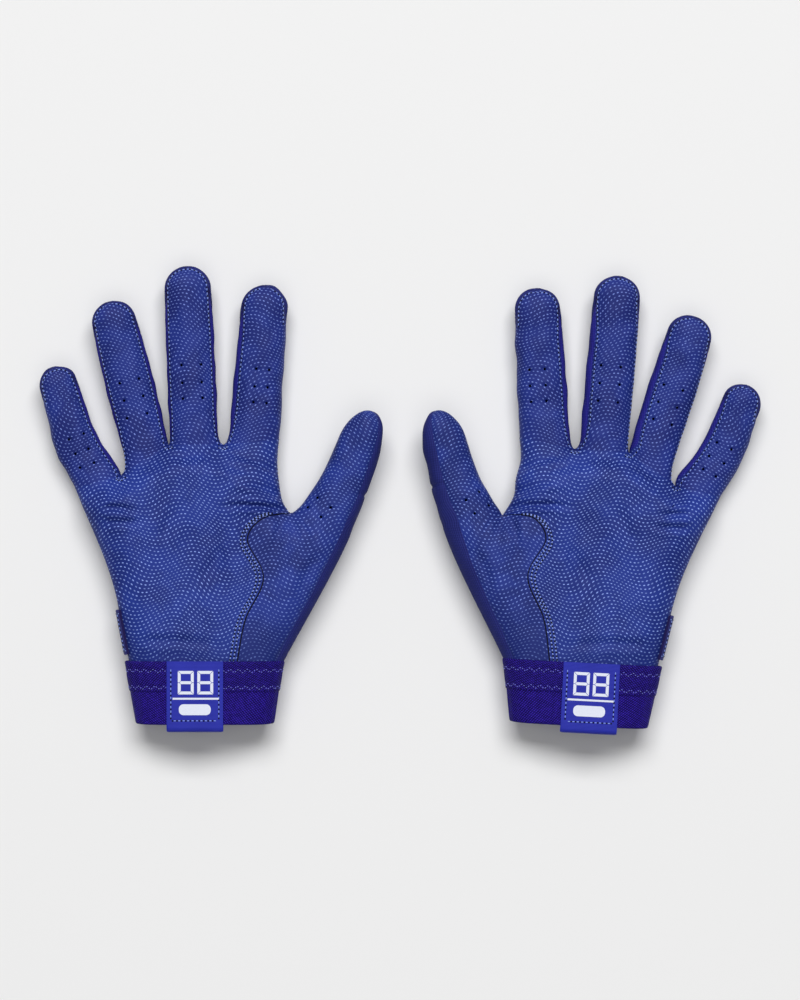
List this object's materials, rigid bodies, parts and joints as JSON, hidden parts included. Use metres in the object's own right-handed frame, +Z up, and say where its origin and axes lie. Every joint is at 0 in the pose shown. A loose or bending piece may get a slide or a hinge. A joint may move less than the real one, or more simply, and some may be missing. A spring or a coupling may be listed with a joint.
{
  "type": "batting gloves",
  "caption": "Batting gloves for the right and left hand, with leather palms, jointed fingers, an elastic cuff with a pull tab and a hook-and-loop wrist strap.",
  "frame": {"origin": "centre of the footprint of both gloves, on the table they lie on, palms up", "axes": "+X from the right-hand glove to the left-hand glove, +Y from the cuffs to the fingertips, +Z up out of the palms"},
  "size_m": [0.3458, 0.2248, 0.0286],
  "materials": {
    "leather": "embossed palm leather with a grip pattern",
    "finger_leather": "embossed leather, perforated on the palm side",
    "stretch": "matte stretch knit",
    "elastic": "twill elastic with a hemmed top edge",
    "webbing": "smooth tape with a plain white print",
    "strap": "stitched strap",
    "hook": "hook tape",
    "loop": "napped loop tape"
  },
  "bodies": {
    "right_hand": {"right_palm_leather": "leather", "right_thenar_panel": "leather", "right_back_panel": "stretch", "right_thumb_gusset": "stretch", "right_cuff": "elastic", "right_pull_tab": "webbing", "right_strap_anchor": "strap", "right_loop_patch": "loop"},
    "right_index": {"right_index_front": "finger_leather", "right_index_back": "stretch", "right_index_fourchette_far_side": "stretch"},
    "right_middle": {"right_middle_front": "finger_leather", "right_middle_back": "stretch", "right_middle_fourchette_thumb_side": "stretch", "right_middle_fourchette_far_side": "stretch"},
    "right_ring": {"right_ring_front": "finger_leather", "right_ring_back": "stretch", "right_ring_fourchette_thumb_side": "stretch", "right_ring_fourchette_far_side": "stretch"},
    "right_little": {"right_little_front": "finger_leather", "right_little_back": "stretch", "right_little_fourchette_thumb_side": "stretch"},
    "right_thumb": {"right_thumb_front": "finger_leather", "right_thumb_back": "stretch"},
    "right_strap": {"right_closure_strap": "strap", "right_hook_patch": "hook"},
    "left_hand": {"left_palm_leather": "leather", "left_thenar_panel": "leather", "left_back_panel": "stretch", "left_thumb_gusset": "stretch", "left_cuff": "elastic", "left_pull_tab": "webbing", "left_strap_anchor": "strap", "left_loop_patch": "loop"},
    "left_index": {"left_index_front": "finger_leather", "left_index_back": "stretch", "left_index_fourchette_far_side": "stretch"},
    "left_middle": {"left_middle_front": "finger_leather", "left_middle_back": "stretch", "left_middle_fourchette_thumb_side": "stretch", "left_middle_fourchette_far_side": "stretch"},
    "left_ring": {"left_ring_front": "finger_leather", "left_ring_back": "stretch", "left_ring_fourchette_thumb_side": "stretch", "left_ring_fourchette_far_side": "stretch"},
    "left_little": {"left_little_front": "finger_leather", "left_little_back": "stretch", "left_little_fourchette_thumb_side": "stretch"},
    "left_thumb": {"left_thumb_front": "finger_leather", "left_thumb_back": "stretch"},
    "left_strap": {"left_closure_strap": "strap", "left_hook_patch": "hook"}
  },
  "joints": [
    {"name": "right_index_flex", "type": "hinge", "parent": "right_hand", "child": "right_index", "pos_m": [-0.06979, 0.03495, 0.01835], "axis": [0.9968, -0.0802, 0], "range_deg": [0, 80]},
    {"name": "right_middle_flex", "type": "hinge", "parent": "right_hand", "child": "right_middle", "pos_m": [-0.0992, 0.03496, 0.01884], "axis": [0.9991, 0.0419, 0], "range_deg": [0, 80]},
    {"name": "right_ring_flex", "type": "hinge", "parent": "right_hand", "child": "right_ring", "pos_m": [-0.1239, 0.03181, 0.01833], "axis": [0.9703, 0.2419, 0], "range_deg": [0, 80]},
    {"name": "right_little_flex", "type": "hinge", "parent": "right_hand", "child": "right_little", "pos_m": [-0.14736, 0.0146, 0.0173], "axis": [0.9272, 0.3746, 0], "range_deg": [0, 80]},
    {"name": "right_thumb_flex", "type": "hinge", "parent": "right_hand", "child": "right_thumb", "pos_m": [-0.03509, -0.00725, 0.02379], "axis": [0.9171, -0.3987, 0], "range_deg": [0, 50]},
    {"name": "right_strap_open", "type": "hinge", "parent": "right_hand", "child": "right_strap", "pos_m": [-0.12927, -0.0626, 0.00549], "axis": [-0.1908, 0.9816, 0], "range_deg": [0, 172]},
    {"name": "left_index_flex", "type": "hinge", "parent": "left_hand", "child": "left_index", "pos_m": [0.06927, 0.03544, 0.01835], "axis": [0.9984, 0.0558, 0], "range_deg": [0, 80]},
    {"name": "left_middle_flex", "type": "hinge", "parent": "left_hand", "child": "left_middle", "pos_m": [0.09874, 0.03392, 0.01883], "axis": [0.9962, -0.0872, 0], "range_deg": [0, 80]},
    {"name": "left_ring_flex", "type": "hinge", "parent": "left_hand", "child": "left_ring", "pos_m": [0.12333, 0.02947, 0.01833], "axis": [0.9532, -0.3024, 0], "range_deg": [0, 80]},
    {"name": "left_little_flex", "type": "hinge", "parent": "left_hand", "child": "left_little", "pos_m": [0.14593, 0.01101, 0.0173], "axis": [0.8949, -0.4462, 0], "range_deg": [0, 80]},
    {"name": "left_thumb_flex", "type": "hinge", "parent": "left_hand", "child": "left_thumb", "pos_m": [0.03263, -0.00485, 0.02378], "axis": [0.9426, 0.3338, 0], "range_deg": [0, 50]},
    {"name": "left_strap_open", "type": "hinge", "parent": "left_hand", "child": "left_strap", "pos_m": [0.1237, -0.06508, 0.00549], "axis": [-0.2419, -0.9703, 0], "range_deg": [0, 172]},
    {"name": "left_glove_lift", "type": "slide", "parent": "right_hand", "child": "left_hand", "axis": [0, 0, 1], "range_m": [0, 0.12]}
  ]
}
